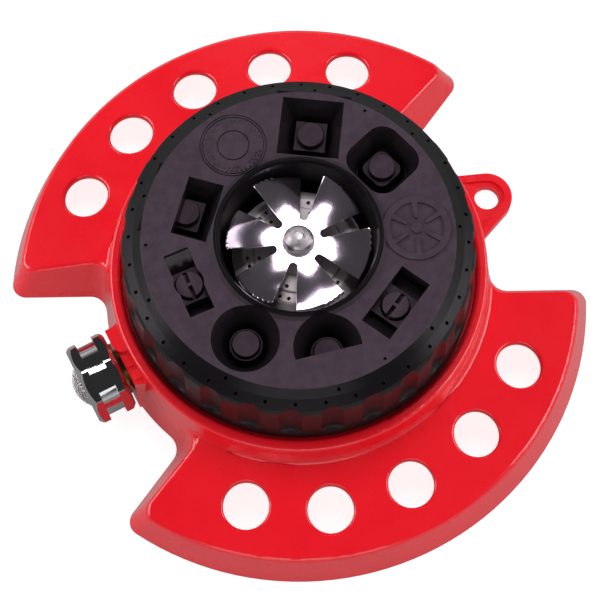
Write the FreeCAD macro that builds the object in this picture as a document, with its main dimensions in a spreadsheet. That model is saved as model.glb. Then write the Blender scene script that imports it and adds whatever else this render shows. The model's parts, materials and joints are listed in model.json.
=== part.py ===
import FreeCAD, Part
import math
import os
import Sketcher

# Turret lawn sprinkler. A hose-fed metal base with two pierced wings carries a dial that is turned to
# bring one of nine spray patterns over the water port. Row frame: origin on the dial axis at ground
# level, +Z up, hose inlet towards -X, hanging loop towards +X. Millimetres and degrees.

DIMENSIONS = {
    # base casting
    "wing_foot_radius": 132.0,
    "wing_draft": 19.0,
    "wing_edge_angle": 26.7,
    "wing_height_at_holes": 21.5,
    "wing_slope": 0.18,
    "wing_wall": 3.4,
    "wing_corner_radius": 7.0,
    "notch_radius": 8.0,
    "top_edge_radius": 2.4,
    "lip_radius": 1.8,
    "hole_circle_radius": 105.0,
    "hole_radius": 10.0,
    "hole_rim_radius": 1.3,
    "hole_pitch": 20.0,
    "drum_foot_radius": 88.5,
    "drum_shoulder_radius": 83.6,
    "drum_shoulder_height": 33.5,
    "drum_inner_radius": 80.5,
    "lip_height": 39.4,
    "lip_inner_radius": 78.0,
    "deck_bottom": 30.0,
    "deck_top": 33.0,
    "pivot_boss_radius": 12.0,
    "pivot_boss_bottom": 14.0,
    "loop_centre": 98.8,
    "loop_hole_radius": 5.7,
    "loop_end_radius": 11.6,
    "loop_half_width": 21.0,
    "loop_height": 6.0,
    "loop_recess": 1.8,
    "loop_rim": 3.6,
    "inlet_height": 19.7,
    "inlet_boss_face": -88.2,
    "inlet_boss_half_width": 13.5,
    "inlet_boss_height": 33.0,
    "boss_detail_root": 1.0,
    "lug_length": 8.5,
    "lug_rise": 3.4,
    # bottom cover and fasteners
    "cover_radius": 80.0,
    "cover_bottom": 3.0,
    "cover_thickness": 2.0,
    "cover_post_circle": 62.0,
    "cover_post_radius": 5.0,
    "screw_radius": 1.5,
    "screw_head_radius": 3.2,
    "screw_head_height": 1.8,
    "cover_screw_length": 10.0,
    "manifold_screw_length": 6.4,
    "plate_screw_length": 16.0,
    "plate_screw_circle": 62.0,
    "plate_screw_radius": 1.4,
    "plate_screw_head_radius": 2.8,
    "plate_screw_sink": 2.0,
    # water path
    "tube_outer_radius": 9.5,
    "tube_bore_radius": 7.0,
    "socket_bore_radius": 8.0,
    "socket_depth": 12.0,
    "port_circle_radius": 50.0,
    "port_angle": 176.5,
    "housing_outer_radius": 11.0,
    "housing_bore_radius": 8.6,
    "housing_bottom": 10.0,
    "housing_top": 36.0,
    "spring_seat": 16.0,
    "seal_travel": 1.0,
    "seal_bottom": 29.0,
    "seal_radius": 8.5,
    "seal_bore_radius": 5.0,
    "running_gap": 0.05,
    "ear_offset": 17.0,
    "ear_radius": 5.0,
    "ear_height": 26.0,
    "ear_thickness": 4.0,
    # pivot and detent
    "bolt_radius": 4.0,
    "bush_radius": 6.5,
    "bush_flange_radius": 10.0,
    "bush_flange_thickness": 1.5,
    "thrust_washer_thickness": 1.5,
    "hub_radius": 12.0,
    "hub_rise": 5.0,
    "detent_circle": 68.0,
    "detent_ball_height": 37.3,
    "detent_ball_radius": 2.1,
    "detent_screw_offset": -20.0,
    # dial
    "plate_bottom": 38.0,
    "plate_thickness": 4.0,
    "gasket_thickness": 1.0,
    "dial_wall_radius": 72.6,
    "dial_wall": 2.6,
    "face_height": 76.8,
    "face_wall": 3.0,
    "face_flat_radius": 65.9,
    "bevel_outer_radius": 69.6,
    "bevel_drop": 2.8,
    "rim_outer_radius": 73.5,
    "rim_drop": 5.4,
    "rim_hole_circle": 71.4,
    "jet_radius": 0.7,
    "bowl_radius": 33.0,
    "bowl_lip_radius": 35.6,
    "bowl_lip_height": 79.2,
    "bowl_floor": 53.0,
    "pattern_circle_radius": 49.6,
    "pattern_phase": 16.5,
    "pattern_pitch": 40.0,
    "recess_depth": 13.6,
    "recess_draft": 21.5,
    "rounded_draft": 18.7,
    "square_floor": 15.6,
    "rounded_floor": 17.2,
    "rounded_floor_corner": 4.6,
    "rounded_mouth_corner": 9.8,
    "cone_floor_radius": 8.4,
    "cone_mouth_radius": 14.2,
    "shelf_radius": 51.8,
    "slot_length": 29.0,
    "slot_narrow": 10.8,
    "slot_wide": 14.0,
    "slot_plate_half": 7.2,
    "slot_plate_drop": 5.3,
    "slot_ramp_drop": 2.2,
    "slot_ramp_depth": 9.5,
    "chamber_bore_radius": 11.2,
    "chamber_radius": 13.0,
    "post_radius": 5.8,
    "post_gap": 0.5,
    "pedestal_width": 13.6,
    "pedestal_corner": 3.7,
    "emblem_rise": 0.8,
    "emblem_root": 0.5,
    "port_radius": 6.0,
    "gasket_port_radius": 9.0,
    "cup_wall": 2.0,
    "core_foot_thickness": 2.0,
    "core_stem_radius": 3.0,
    "pedestal_drop": 10.0,
    "post_drop": 7.2,
    "slot_post_drop": 2.8,
    "sleeve_drop": 9.2,
    "sleeve_wall": 0.6,
    "skirt_bottom": 36.5,
    "skirt_bottom_radius": 76.6,
    "skirt_top_radius": 75.0,
    "scoop_radius": 8.5,
    "scoop_depth": 1.8,
    "scoop_bottom": 44.4,
    "scoop_end_radius": 2.5,
    # propeller and its nozzle
    "propeller_height": 69.8,
    "blade_tip_radius": 30.6,
    "blade_phase": 81.0,
    "blade_root_radius": 8.0,
    "blade_tilt": 20.0,
    "blade_thickness": 0.6,
    "shaft_radius": 2.0,
    "cap_radius": 6.3,
    "cap_height": 77.2,
    "insert_radius": 28.6,
    "pin_radius": 1.9,
    "pin_step_height": 68.4,
    "head_washer_radius": 7.0,
    "head_washer_thickness": 0.6,
    # swivel coupling
    "nut_corner_radius": 19.3,
    "nut_waist_radius": 16.2,
    "nut_mouth": -107.2,
    "nut_back": -89.5,
    "nut_flange": 5.0,
    "nut_bore_radius": 13.4,
    "neck_radius": 10.0,
    "water_bore_radius": 6.5,
    "nut_lip": 3.0,
    "nut_chamfer": 2.6,
    "tail_flange_radius": 13.0,
    "tail_flange_thickness": 2.4,
    "tail_collar_radius": 12.0,
    "tail_inset": 2.2,
    "hose_washer_thickness": 2.5,
    "hose_washer_radius": 12.8,
    "strainer_rim_radius": 12.6,
    "strainer_wall": 0.7,
}

WING_SIDES = (90.0, 270.0)
WING_HOLE_STEPS = (-2, -1, 0, 1, 2)
SCOOP_COUNT = 27
RIM_JET_COUNT = 36
PATTERN_COUNT = 9
BLADE_COUNT = 6
LEAF_THICKNESS = 0.5
QUARTER_ANGLES = (45.0, 135.0, 225.0, 315.0)

doc = FreeCAD.newDocument("turret_sprinkler")
sheet = doc.addObject("Spreadsheet::Sheet", "Sizes")
for row, (alias, number) in enumerate(DIMENSIONS.items(), start=1):
    sheet.set(f"A{row}", alias)
    sheet.set(f"B{row}", str(number))
    sheet.setAlias(f"B{row}", alias)
doc.recompute()


# ---------------------------------------------------------------- sizes that know their sheet formula


class Size:
    """A length or angle: its value, and the formula in the sheet's aliases that gives it."""

    def __init__(self, value, text):
        self.value = value
        self.text = text

    def __add__(self, other):
        other = as_size(other)
        return Size(self.value + other.value, f"({self.text} + {other.text})")

    def __sub__(self, other):
        other = as_size(other)
        return Size(self.value - other.value, f"({self.text} - {other.text})")

    def __mul__(self, other):
        other = as_size(other)
        return Size(self.value * other.value, f"({self.text} * {other.text})")

    def __truediv__(self, other):
        other = as_size(other)
        return Size(self.value / other.value, f"({self.text} / {other.text})")

    def __neg__(self):
        return Size(-self.value, f"(-1 * {self.text})")


def as_size(number):
    """A plain number as a Size, so that sizes and numbers mix in one formula."""
    if isinstance(number, Size):
        return number
    return Size(float(number), f"({float(number):.6f})")


def size(alias):
    """The Size of one cell of the sheet."""
    return Size(float(sheet.get(alias)), f"Sizes.{alias}")


def cosine(length, angle):
    angle = as_size(angle)
    return Size(length.value * math.cos(math.radians(angle.value)), f"({length.text} * cos({angle.text}))")


def sine(length, angle):
    angle = as_size(angle)
    return Size(length.value * math.sin(math.radians(angle.value)), f"({length.text} * sin({angle.text}))")


def bind(item, name, number):
    item.setExpression(name, as_size(number).text)


# ---------------------------------------------------------------- shape helpers


def origin_plane(body, role):
    return [feature for feature in body.Origin.OriginFeatures if feature.Role == role][0]


def add_body(name):
    body = doc.addObject("PartDesign::Body", name)
    body.Label = name
    return body


def draw_polygon(body, name, role, points, height=0.0):
    """A closed sketch through the points, every coordinate bound to the sheet."""
    sketch = body.newObject("Sketcher::SketchObject", name)
    sketch.AttachmentSupport = [(origin_plane(body, role), "")]
    sketch.MapMode = "FlatFace"
    corners = [(as_size(x), as_size(y)) for x, y in points]
    vectors = [FreeCAD.Vector(x.value, y.value, 0) for x, y in corners]
    for index, start in enumerate(vectors):
        end = vectors[(index + 1) % len(vectors)]
        sketch.addGeometry(Part.LineSegment(start, end), False)
    for index in range(len(vectors)):
        following = (index + 1) % len(vectors)
        sketch.addConstraint(Sketcher.Constraint("Coincident", index, 2, following, 1))
    for index, corner in enumerate(corners):
        for kind, coordinate in zip(("DistanceX", "DistanceY"), corner):
            constraint = Sketcher.Constraint(kind, -1, 1, index, 1, coordinate.value)
            number = sketch.addConstraint(constraint)
            bind(sketch, f"Constraints[{number}]", coordinate)
    bind(sketch, "AttachmentOffset.Base.z", height)
    return sketch


def add_pad(body, name, sketch, length, taper=None):
    pad = body.newObject("PartDesign::Pad", name)
    pad.Profile = sketch
    bind(pad, "Length", length)
    if taper is not None:
        bind(pad, "TaperAngle", taper)
    return pad


def turned(name, profile, axis_role="Z_Axis", role="XZ_Plane"):
    """A body of revolution about the row's Z axis, or about X when told so."""
    body = add_body(name)
    sketch = draw_polygon(body, f"{name}_profile", role, profile)
    turn = body.newObject("PartDesign::Revolution", f"{name}_turn")
    turn.Profile = sketch
    turn.ReferenceAxis = (origin_plane(body, axis_role), [""])
    turn.Angle = 360.0
    return body


def prism(name, outline, bottom, height, taper=None):
    """A body padded upwards from a horizontal outline."""
    body = add_body(name)
    sketch = draw_polygon(body, f"{name}_outline", "XY_Plane", outline, bottom)
    add_pad(body, f"{name}_pad", sketch, height, taper)
    return body


def cylinder(name, radius, height, x=0.0, y=0.0, z=0.0, rotation=None):
    rod = doc.addObject("Part::Cylinder", name)
    rod.Placement = FreeCAD.Placement(FreeCAD.Vector(), rotation or FreeCAD.Rotation())
    bind(rod, "Radius", radius)
    bind(rod, "Height", height)
    move(rod, x, y, z)
    return rod


def sphere(name, radius, x=0.0, y=0.0, z=0.0):
    ball = doc.addObject("Part::Sphere", name)
    bind(ball, "Radius", radius)
    move(ball, x, y, z)
    return ball


def block(name, length, width, height, x=0.0, y=0.0, z=0.0, turn=0.0):
    """A box centred on x and y, standing on z, turned about Z through its centre."""
    box = doc.addObject("Part::Box", name)
    box.Placement = FreeCAD.Placement(FreeCAD.Vector(), FreeCAD.Rotation(FreeCAD.Vector(0, 0, 1), turn))
    half_length = as_size(length) / 2
    half_width = as_size(width) / 2
    bind(box, "Length", length)
    bind(box, "Width", width)
    bind(box, "Height", height)
    corner_x = as_size(x) - cosine(half_length, turn) + sine(half_width, turn)
    corner_y = as_size(y) - sine(half_length, turn) - cosine(half_width, turn)
    move(box, corner_x, corner_y, z)
    return box


def move(item, x, y, z):
    for axis, distance in zip("xyz", (x, y, z)):
        bind(item, f"Placement.Base.{axis}", distance)


def turn_to(item, radius, angle, height=0.0):
    """Turns an item about Z and puts its own origin on a circle round the dial axis."""
    item.Placement = FreeCAD.Placement(FreeCAD.Vector(), FreeCAD.Rotation(FreeCAD.Vector(0, 0, 1), angle))
    radius = as_size(radius)
    move(item, cosine(radius, angle), sine(radius, angle), height)
    return item


def join(name, items):
    fusion = doc.addObject("Part::MultiFuse", name)
    fusion.Shapes = items
    fusion.Refine = False
    fusion.Label = name
    return fusion


def join_in_turn(name, items):
    """Fuses the shapes one after another, which keeps many overlapping thin walls whole."""
    whole = items[0]
    for number, item in enumerate(items[1:], start=1):
        fusion = doc.addObject("Part::Fuse", f"{name}_{number}")
        fusion.Base = whole
        fusion.Tool = item
        fusion.Refine = False
        whole = fusion
    return whole


def cut(name, base, tool):
    difference = doc.addObject("Part::Cut", name)
    difference.Base = base
    difference.Tool = tool
    difference.Refine = False
    difference.Label = name
    return difference


def common(name, base, tool):
    overlap = doc.addObject("Part::Common", name)
    overlap.Base = base
    overlap.Tool = tool
    overlap.Label = name
    return overlap


def drilled(name, base, tools):
    """The base with every tool cut from it."""
    return cut(name, base, join(f"{name}_tools", tools) if len(tools) > 1 else tools[0])


def round_edges(name, base, radius, chosen):
    """Fillets the edges of base for which chosen(edge) is true."""
    doc.recompute()
    fillet = doc.addObject("Part::Fillet", name)
    fillet.Base = base
    edges = enumerate(base.Shape.Edges, start=1)
    fillet.Edges = [(number, radius.value, radius.value) for number, edge in edges if chosen(edge)]
    fillet.Label = name
    return fillet


def pattern_angle(index):
    return DIMENSIONS["pattern_phase"] + index * DIMENSIONS["pattern_pitch"]


PARTS = []


def finish(item, name):
    item.Label = name
    PARTS.append((name, item))
    return item


# ---------------------------------------------------------------- base casting


def wing_surface(radius):
    """Height of the wing's top surface at a distance from the dial axis."""
    fall = (as_size(radius) - size("hole_circle_radius")) * size("wing_slope")
    return size("wing_height_at_holes") - fall


def wing(name, side_angle, inset, top_drop):
    """One wing as a solid block with drafted sides and a top that falls away from the dial.

    inset moves the outline inwards and top_drop lowers the top, so the same shape cuts the hollow."""
    body = add_body(name)
    outline = body.newObject("Sketcher::SketchObject", f"{name}_outline")
    outline.AttachmentSupport = [(origin_plane(body, "XY_Plane"), "")]
    outline.MapMode = "FlatFace"
    outer = size("wing_foot_radius") - inset
    inner = as_size(60.0)
    edge_shift = math.degrees((inset if isinstance(inset, float) else inset.value) / outer.value)
    start = side_angle - 90.0 + DIMENSIONS["wing_edge_angle"] + edge_shift
    end = side_angle + 90.0 - DIMENSIONS["wing_edge_angle"] - edge_shift
    begin, finish_angle = math.radians(start), math.radians(end)

    def at(radius, angle):
        return FreeCAD.Vector(radius.value * math.cos(angle), radius.value * math.sin(angle), 0)

    circle = Part.Circle(FreeCAD.Vector(), FreeCAD.Vector(0, 0, 1), outer.value)
    outline.addGeometry(Part.ArcOfCircle(circle, begin, finish_angle), False)
    outline.addGeometry(Part.LineSegment(at(outer, finish_angle), at(inner, finish_angle)), False)
    outline.addGeometry(Part.LineSegment(at(inner, finish_angle), at(inner, begin)), False)
    outline.addGeometry(Part.LineSegment(at(inner, begin), at(outer, begin)), False)
    constrain = outline.addConstraint
    constrain(Sketcher.Constraint("Coincident", 0, 3, -1, 1))
    constrain(Sketcher.Constraint("Coincident", 0, 2, 1, 1))
    constrain(Sketcher.Constraint("Coincident", 1, 2, 2, 1))
    constrain(Sketcher.Constraint("Coincident", 2, 2, 3, 1))
    constrain(Sketcher.Constraint("Coincident", 3, 2, 0, 1))
    radius_number = constrain(Sketcher.Constraint("Radius", 0, outer.value))
    bind(outline, f"Constraints[{radius_number}]", outer)
    for line, point, radius, angle in ((1, 1, outer, end), (1, 2, inner, end), (3, 1, inner, start)):
        x, y = cosine(radius, angle), sine(radius, angle)
        if radius is inner:
            number = constrain(Sketcher.Constraint("DistanceX", -1, 1, line, point, x.value))
            bind(outline, f"Constraints[{number}]", x)
        number = constrain(Sketcher.Constraint("DistanceY", -1, 1, line, point, y.value))
        bind(outline, f"Constraints[{number}]", y)
    x_start = cosine(outer, start)
    number = constrain(Sketcher.Constraint("DistanceX", -1, 1, 3, 2, x_start.value))
    bind(outline, f"Constraints[{number}]", x_start)
    add_pad(body, f"{name}_pad", outline, 45.0, -size("wing_draft"))
    near = as_size(40.0)
    far = as_size(150.0)
    ceiling = as_size(60.0)
    above = [(near, wing_surface(near) - top_drop), (far, wing_surface(far) - top_drop),
             (far, ceiling), (near, ceiling)]
    profile = draw_polygon(body, f"{name}_above", "XZ_Plane", above)
    trim = body.newObject("PartDesign::Groove", f"{name}_top")
    trim.Profile = profile
    trim.ReferenceAxis = (origin_plane(body, "Z_Axis"), [""])
    trim.Angle = 360.0
    return body


def corner_edges(edge):
    """The wing's four drafted corner edges at its outer and inner ends."""
    box = edge.BoundBox
    middle = edge.CenterOfMass
    reach = math.hypot(middle.x, middle.y)
    return box.ZLength > 8.0 and box.ZMin < 0.1 and reach > 100.0 and edge.Length < 40.0


def edge_place(edge):
    """Distance from the dial axis, lowest and highest point of an edge."""
    middle = edge.CenterOfMass
    return math.hypot(middle.x, middle.y), edge.BoundBox.ZMin, edge.BoundBox.ZMax


def is_notch_edge(edge):
    """Upright corner between a wing's side and the drum."""
    _, low, high = edge_place(edge)
    return low < 1.0 and 24.0 < high < 26.0


def is_wing_top_edge(edge):
    """Edge of a wing's top, on its outside or where it runs into the drum."""
    reach, low, high = edge_place(edge)
    return reach > 65.0 and low > 17.0 and high < 25.6


def is_lip_edge(edge):
    return edge_place(edge)[1] > DIMENSIONS["lip_height"] - 0.2


def casting_outside():
    """Drum and wings in one, with every outside edge rounded as a casting's are."""
    wings = []
    for side, angle in enumerate(WING_SIDES):
        raw = wing(f"wing_{side}", angle, 0.0, 0.0)
        wings.append(round_edges(f"wing_{side}_corners", raw, size("wing_corner_radius"), corner_edges))
    shoulder, lip = size("drum_shoulder_radius"), size("lip_height")
    drum = turned("drum", [
        (0.0, 0.0), (size("drum_foot_radius"), 0.0), (shoulder, size("drum_shoulder_height")),
        (shoulder - 0.7, lip), (size("lip_inner_radius"), lip), (size("lip_inner_radius"), lip - 3.0),
        (0.0, lip - 3.0)])
    joined = join("wings_and_drum", wings + [drum])
    notched = round_edges("notches_rounded", joined, size("notch_radius"), is_notch_edge)
    topped = round_edges("tops_rounded", notched, size("top_edge_radius"), is_wing_top_edge)
    return round_edges("lip_rounded", topped, size("lip_radius"), is_lip_edge)


def casting_hollows():
    """Everything that the pattern cores take out of the casting from below and above."""
    cores = []
    corner = size("wing_corner_radius") - size("wing_wall")
    for side, angle in enumerate(WING_SIDES):
        core = wing(f"wing_core_{side}", angle, size("wing_wall"), size("wing_wall"))
        cores.append(round_edges(f"wing_core_{side}_corners", core, corner, corner_edges))
    shoulder = size("drum_shoulder_radius")
    keep_out = turned("drum_keep_out", [
        (0.0, -1.0), (size("drum_foot_radius") + 0.5, -1.0), (shoulder + 0.5, size("deck_top")),
        (shoulder, 60.0), (0.0, 60.0)])
    under = turned("drum_under", [
        (0.0, -1.0), (size("drum_inner_radius"), -1.0),
        (size("drum_inner_radius"), size("deck_bottom")), (0.0, size("deck_bottom"))])
    over = cylinder("drum_over", size("lip_inner_radius"), 20.0, 0.0, 0.0, size("deck_top"))
    return cut("wing_hollows", join("wing_cores", cores), keep_out), under, over


def casting_posts():
    """The pivot's boss and the screw posts, which hang from the deck."""
    boss_height = size("deck_top") - size("pivot_boss_bottom")
    boss_bottom = size("pivot_boss_bottom")
    posts = [cylinder("pivot_boss", size("pivot_boss_radius"), boss_height, 0.0, 0.0, boss_bottom)]
    cover_top = size("cover_bottom") + size("cover_thickness")
    for number, angle in enumerate(QUARTER_ANGLES):
        post_height = size("deck_bottom") - cover_top + 1.0
        post = cylinder(f"cover_post_{number}", size("cover_post_radius"), post_height)
        posts.append(turn_to(post, size("cover_post_circle"), angle, cover_top))
    return posts


def casting_holes():
    """Through holes of the wings, the seats of the pivot and water way, and the screws' pilots."""
    cuts = [wing_hole(angle + step * DIMENSIONS["hole_pitch"], f"wing_hole_{side}_{step + 2}")
            for side, angle in enumerate(WING_SIDES) for step in WING_HOLE_STEPS]
    cuts.append(cylinder("bush_seat", size("bush_radius"), 40.0, 0.0, 0.0, 5.0))
    cuts.append(turn_to(cylinder("housing_hole", size("housing_outer_radius"), 10.0),
                        size("port_circle_radius"), DIMENSIONS["port_angle"], 28.0))
    along_x = FreeCAD.Rotation(FreeCAD.Vector(0, 1, 0), 90)
    cuts.append(cylinder("tube_hole", size("tube_outer_radius"), 30.0,
                         size("inlet_boss_face") - 5.0, 0.0, size("inlet_height"), along_x))
    for number, angle in enumerate(QUARTER_ANGLES):
        pilot = cylinder(f"cover_pilot_{number}", size("screw_radius"), 12.0)
        cuts.append(turn_to(pilot, size("cover_post_circle"), angle, size("cover_bottom")))
    for number, place in enumerate(manifold_screw_places()):
        cuts.append(cylinder(f"manifold_pilot_{number}", size("screw_radius"), 2.6,
                             place[0], place[1], size("deck_bottom")))
    cuts.append(cylinder("detent_pilot", size("screw_radius"), 5.0,
                         size("detent_circle"), size("detent_screw_offset"), size("deck_bottom") - 1.0))
    return cuts


def base_casting():
    wing_hollows, under, over = casting_hollows()
    shell = drilled("casting_shell", casting_outside(), [wing_hollows, under, over])
    loop = cut("loop_trimmed", hanging_loop(), under)
    boss = drilled("boss_trimmed", inlet_boss(), [under, over])
    furnished = join("casting_posts", [shell, loop, boss] + casting_posts())
    casting = drilled("casting_drilled", furnished, casting_holes())
    softened = round_edges("casting_soft", casting, size("hole_rim_radius"), is_wing_hole_rim)
    finish(softened, "base_casting")


def wing_hole(angle, name):
    return turn_to(cylinder(name, size("hole_radius"), 60.0), size("hole_circle_radius"), angle, -5.0)


def is_wing_hole_rim(edge):
    """The upper rim of a hole in a wing."""
    box = edge.BoundBox
    middle = box.Center
    wide = 2.0 * DIMENSIONS["hole_radius"]
    round_enough = abs(box.DiagonalLength - wide * math.sqrt(2)) < 3.0
    on_circle = abs(math.hypot(middle.x, middle.y) - DIMENSIONS["hole_circle_radius"]) < 3.0
    return round_enough and on_circle and middle.z > DIMENSIONS["wing_height_at_holes"] - 1.5


def hanging_loop():
    """Low eye on the side opposite the inlet, its edge raised as a bead."""
    centre, end = size("loop_centre"), size("loop_end_radius")
    base_x = size("drum_foot_radius") - 7.0
    half = size("loop_half_width")
    lean = math.degrees(math.asin(0.45))

    def eye(name, inset, bottom, height):
        inner_end = end - inset
        x, y = centre + sine(inner_end, lean), cosine(inner_end, lean)
        plate = prism(f"{name}_plate", [(base_x - 4.0, -(half - inset)), (x, -y), (x, y),
                                        (base_x - 4.0, half - inset)], bottom, height)
        tip = cylinder(f"{name}_tip", inner_end, height, centre, 0.0, bottom)
        return join(name, [plate, tip])

    body = eye("loop_outer", 0.0, 0.0, size("loop_height"))
    sunk = eye("loop_sunk", size("loop_rim"), size("loop_height") - size("loop_recess"), 10.0)
    hole = cylinder("loop_hole", size("loop_hole_radius"), 30.0, centre, 0.0, -5.0)
    return drilled("loop", body, [sunk, hole])


def inlet_boss():
    """Square-shouldered block where the hose fitting enters, with a lug, a rib and a small pad on its top."""
    face = size("inlet_boss_face")
    half = size("inlet_boss_half_width")
    top = size("inlet_boss_height")
    front_half, back_half = half + 1.0, half + 5.0
    back = face + 12.2
    outline = [(face, -front_half), (back, -back_half), (back, back_half), (face, front_half)]
    main = prism("boss_block", outline, 0.0, top, -2.0)
    root = top - size("boss_detail_root")
    rib = block("boss_rib", 5.6, 1.0, 2.0, face + 4.6, -5.0, root)
    pad = block("boss_pad", 4.6, 4.6, 1.8, face + 4.6, -10.0, root)
    length, rise = size("lug_length"), size("lug_rise")
    lug = block("boss_lug", length, 8.2, rise, face + 4.4, 9.6, root)
    lug_end = cylinder("boss_lug_end", length / 2, rise, face + 4.4, 5.5, root)
    return join("boss", [main, rib, pad, lug, lug_end])


def manifold_screw_places():
    radius, angle = size("port_circle_radius"), DIMENSIONS["port_angle"]
    x, y = cosine(radius, angle), sine(radius, angle)
    return [(x, y + size("ear_offset")), (x, y - size("ear_offset"))]


# ---------------------------------------------------------------- fixed parts under the deck


def bottom_cover():
    bottom = size("cover_bottom")
    disc = cylinder("cover_disc", size("cover_radius"), size("cover_thickness"), 0.0, 0.0, bottom)
    holes = []
    for number, angle in enumerate(QUARTER_ANGLES):
        hole = cylinder(f"cover_hole_{number}", size("screw_radius"), 8.0)
        holes.append(turn_to(hole, size("cover_post_circle"), angle, 0.0))
    finish(drilled("cover_drilled", disc, holes), "bottom_cover")


def screw(name, radius, head_radius, head_height, shank, upwards=True):
    """Pan-head screw: the head's seat is at height 0 and the shank points up, or down."""
    sign = 1.0 if upwards else -1.0
    crown = as_size(head_height) * -sign
    point = as_size(shank) * sign
    profile = [(0.0, point), (as_size(radius) - 0.4, point), (radius, point - 0.6 * sign),
               (radius, 0.0), (head_radius, 0.0), (as_size(head_radius) - 0.2, crown * 0.5),
               (as_size(head_radius) - 0.9, crown), (1.0, crown), (0.6, crown * 0.45), (0.0, crown * 0.45)]
    return turned(name, profile)


def screws(name, places, head_height, shank, upwards=True, radius=None, head_radius=None):
    items = []
    for number, (x, y, z) in enumerate(places):
        item = screw(f"{name}_{number}", radius or size("screw_radius"),
                     head_radius or size("screw_head_radius"), head_height, shank, upwards)
        move(item, x, y, z)
        items.append(item)
    group = doc.addObject("Part::Compound", f"{name}_group")
    group.Links = items
    finish(group, name)


def circle_places(radius, angles, height):
    return [(cosine(radius, angle), sine(radius, angle), height) for angle in angles]


def fixed_screws():
    screws("cover_screws", circle_places(size("cover_post_circle"), QUARTER_ANGLES, size("cover_bottom")),
           size("screw_head_height"), size("cover_screw_length"))
    screws("manifold_screws", [(x, y, size("ear_height")) for x, y in manifold_screw_places()],
           size("screw_head_height"), size("manifold_screw_length"))
    detent_place = (size("detent_circle"), size("detent_screw_offset"), size("deck_top") + LEAF_THICKNESS)
    screws("detent_screw", [detent_place], 1.5, 4.0, upwards=False)


def inlet_manifold():
    """Plastic water way: a tube from the inlet to the upright housing that holds the port seal."""
    radius, angle = size("port_circle_radius"), DIMENSIONS["port_angle"]
    x, y = cosine(radius, angle), sine(radius, angle)
    height = size("inlet_height")
    along_x = FreeCAD.Rotation(FreeCAD.Vector(0, 1, 0), 90)
    mouth = size("inlet_boss_face") + size("tail_inset")
    length = x - mouth
    tube = cylinder("manifold_tube", size("tube_outer_radius"), length, mouth, 0.0, height, along_x)
    housing = cylinder("manifold_housing", size("housing_outer_radius"),
                       size("housing_top") - size("housing_bottom"), x, y, size("housing_bottom"))
    body = [tube, housing]
    holes = [
        cylinder("manifold_bore", size("tube_bore_radius"), length, mouth, 0.0, height, along_x),
        cylinder("manifold_socket", size("socket_bore_radius"), size("socket_depth"), mouth, 0.0, height,
                 along_x),
        cylinder("housing_bore", size("housing_bore_radius"), 40.0, x, y, size("spring_seat")),
        cylinder("housing_sump", size("tube_bore_radius"), 20.0, x, y, size("housing_bottom") + 2.0),
    ]
    for number, place in enumerate(manifold_screw_places()):
        body.append(cylinder(f"manifold_ear_{number}", size("ear_radius"), size("ear_thickness"),
                             place[0], place[1], size("ear_height")))
        holes.append(cylinder(f"ear_hole_{number}", size("screw_radius"), 10.0,
                              place[0], place[1], size("ear_height") - 2.0))
    body.append(block("manifold_strap", 8.0, 32.0, size("ear_thickness"), x, y, size("ear_height")))
    finish(drilled("manifold_drilled", join("manifold_solid", body), holes), "inlet_manifold")


def coil_spring(name, radius, wire, bottom, top, turns, x, y):
    helix = doc.addObject("Part::Helix", f"{name}_helix")
    bind(helix, "Radius", radius)
    bind(helix, "Height", top - bottom - wire * 2)
    bind(helix, "Pitch", (top - bottom - wire * 2) / turns)
    section = doc.addObject("Part::Circle", f"{name}_wire")
    section.Placement = FreeCAD.Placement(FreeCAD.Vector(), FreeCAD.Rotation(FreeCAD.Vector(1, 0, 0), 90))
    bind(section, "Radius", wire)
    bind(section, "Placement.Base.x", radius)
    sweep = doc.addObject("Part::Sweep", f"{name}_sweep")
    sweep.Sections = [section]
    sweep.Spine = (helix, ["Edge1"])
    sweep.Solid = True
    sweep.Frenet = True
    move(sweep, x, y, bottom + wire)
    finish(sweep, name)


def port_seal():
    """Rubber cup under the dial's port plate, and its spring drawn pressed, clear of the cup's travel."""
    radius, angle = size("port_circle_radius"), DIMENSIONS["port_angle"]
    bottom = size("seal_bottom")
    top = size("plate_bottom") - size("running_gap")
    outer, bore = size("seal_radius"), size("seal_bore_radius")
    seal = turned("port_seal_body", [
        (bore, bottom + 3.0), (bore, top - 0.8), (bore + 0.8, top), (outer - 1.0, top),
        (outer - 0.5, top - 0.6), (outer - 0.5, top - 3.0), (outer, top - 3.6), (outer, bottom),
        (bore + 1.6, bottom),
        (bore + 1.6, bottom + 3.0)])
    move(seal, cosine(radius, angle), sine(radius, angle), 0.0)
    finish(seal, "port_seal")
    spring_top = bottom - size("seal_travel") - size("running_gap")
    coil_spring("seal_spring", as_size(7.3), as_size(0.5), size("spring_seat"), spring_top, 4.5,
                cosine(radius, angle), sine(radius, angle))


def pivot_bearing():
    deck = size("deck_top")
    bore, outer = size("bolt_radius") + size("running_gap"), size("bush_radius")
    flange = size("bush_flange_radius")
    flange_top = deck + size("bush_flange_thickness")
    washer_top = flange_top + size("thrust_washer_thickness")
    bush = turned("bush_body", [
        (bore, size("pivot_boss_bottom")), (outer, size("pivot_boss_bottom")), (outer, deck), (flange, deck),
        (flange, flange_top), (bore, flange_top)])
    finish(bush, "pivot_bush")
    washer = turned("thrust_body", [
        (4.4, flange_top), (flange - 0.4, flange_top), (flange - 0.4, washer_top), (4.4, washer_top)])
    finish(washer, "thrust_washer")


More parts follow.
